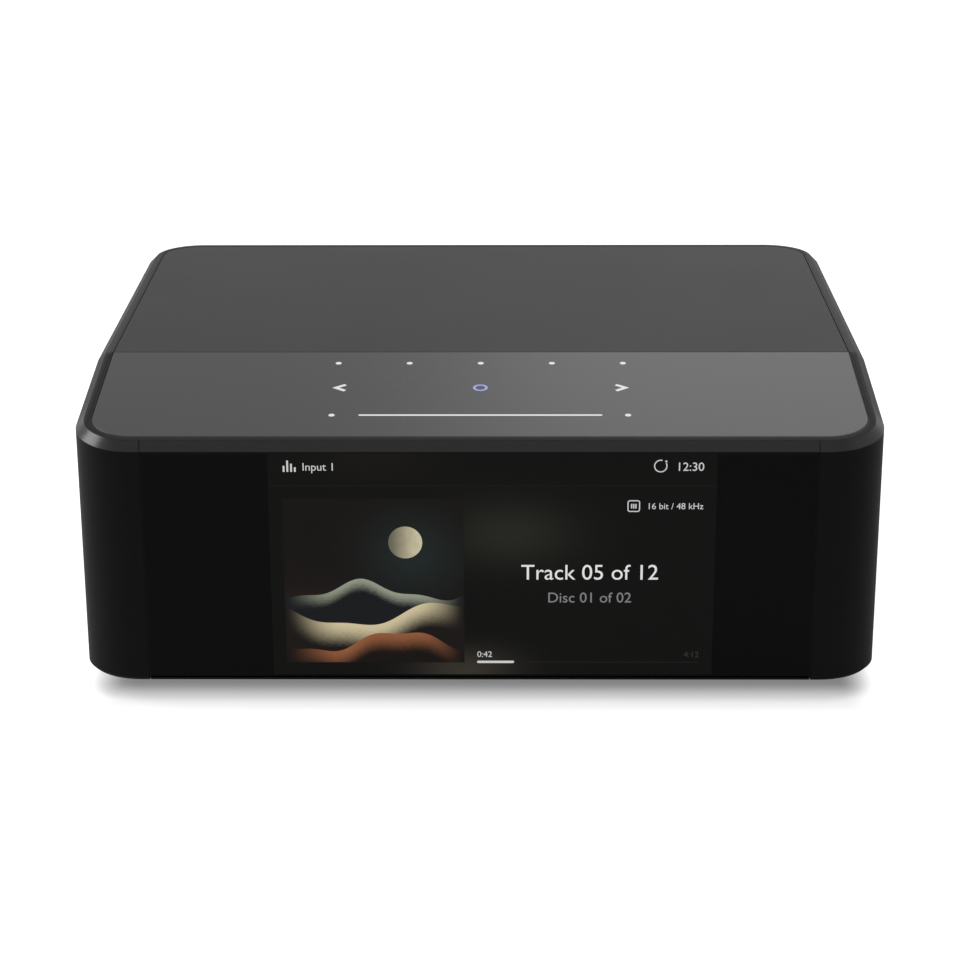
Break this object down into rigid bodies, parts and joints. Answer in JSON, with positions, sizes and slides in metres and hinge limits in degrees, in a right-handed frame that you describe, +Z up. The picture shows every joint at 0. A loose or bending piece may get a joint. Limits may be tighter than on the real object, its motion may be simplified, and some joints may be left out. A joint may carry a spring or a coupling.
{
  "type": "network music streamer",
  "caption": "Low desktop music streamer with a wraparound black housing, glossy front display, sloping touch panel, side headphone sockets and a rear socket panel.",
  "frame": {"origin": "on the table under the middle of the box that holds the whole object", "axes": "+Z up, +X to the right of someone facing the display, front towards -Y"},
  "size_m": [0.22, 0.193, 0.084],
  "materials": {
    "shell_plastic": "satin black moulded plastic with a fine texture",
    "bezel_plastic": "satin black moulded plastic",
    "front_gloss": "polished black cover window over the display",
    "cover_plastic": "fine matt charcoal plastic",
    "touch_gloss": "satin smoked touch surface",
    "adhesive": "black mounting tape",
    "foam": "grey foam pads",
    "display": "display module with a lit face",
    "sheet_steel": "plated sheet steel",
    "painted_steel": "fine textured black paint",
    "screw_black": "black oxide screws",
    "screw_steel": "zinc plated screws",
    "pillar_brass": "turned brass",
    "circuit_board": "green solder mask",
    "power_board": "brown single sided board",
    "foot_plastic": "black moulded plastic",
    "foot_rubber": "black rubber",
    "socket_plastic": "black socket plastic",
    "gold_plate": "gold plated brass",
    "socket_white": "white insulator plastic",
    "acrylic": "frosted clear acrylic",
    "lamp": "small white lamps",
    "chip_epoxy": "black chip epoxy",
    "dark_aluminium": "black anodised extrusion",
    "capacitor_sleeve": "printed plastic sleeve",
    "winding": "taped and varnished windings",
    "cable": "flat cable and insulated wire"
  },
  "bodies": {
    "housing": {"side_shell": "shell_plastic", "front_bezel": "bezel_plastic", "front_glass": "front_gloss", "glass_tape": "adhesive", "lcd_module": "display", "lcd_foam": "foam", "lcd_bracket": "sheet_steel", "rear_top_cover": "cover_plastic", "touch_panel": "touch_gloss", "touch_tape": "adhesive", "light_guide": "acrylic", "touch_board": "circuit_board", "touch_leds": "lamp", "base_plate": "painted_steel", "rear_panel": "painted_steel", "foot_bodies": "foot_plastic", "foot_pads": "foot_rubber", "foot_screws": "screw_steel", "base_screws": "screw_black", "rear_screws": "screw_black", "front_screws": "screw_steel", "bracket_screws": "screw_steel", "standoffs": "pillar_brass", "board_spacers": "pillar_brass", "board_screws": "screw_steel", "main_board": "circuit_board", "audio_board": "circuit_board", "psu_board": "power_board", "headphone_boards": "circuit_board", "headphone_jacks": "socket_plastic", "power_inlet": "socket_plastic", "inlet_pins": "sheet_steel", "lan_jack": "sheet_steel", "usb_a_port": "sheet_steel", "usb_c_port": "sheet_steel", "hdmi_port": "sheet_steel", "socket_tongues": "socket_plastic", "optical_jack": "socket_plastic", "rca_shells": "gold_plate", "rca_cores": "socket_white", "xlr_housings": "socket_plastic", "xlr_pins": "sheet_steel", "mini_jacks": "socket_plastic", "processor": "chip_epoxy", "heat_sink": "dark_aluminium", "memory_chips": "chip_epoxy", "wifi_module": "sheet_steel", "wifi_antennas": "circuit_board", "dac_chips": "chip_epoxy", "audio_capacitors": "capacitor_sleeve", "board_header": "socket_plastic", "psu_transformer": "winding", "psu_choke": "winding", "bulk_capacitor": "capacitor_sleeve", "output_capacitors": "capacitor_sleeve", "lcd_ribbon": "cable", "touch_ribbon": "cable", "power_harness": "cable", "headphone_leads": "cable"},
    "shutter": {"optical_shutter": "socket_plastic"}
  },
  "joints": [
    {"name": "shutter_hinge", "type": "hinge", "parent": "housing", "child": "shutter", "pos_m": [0.047, 0.0871, 0.0271], "axis": [-1, 0, 0], "range_deg": [0, 80], "stiffness_Nm_per_rad": 0.0002, "springref_deg": -20.05}
  ]
}
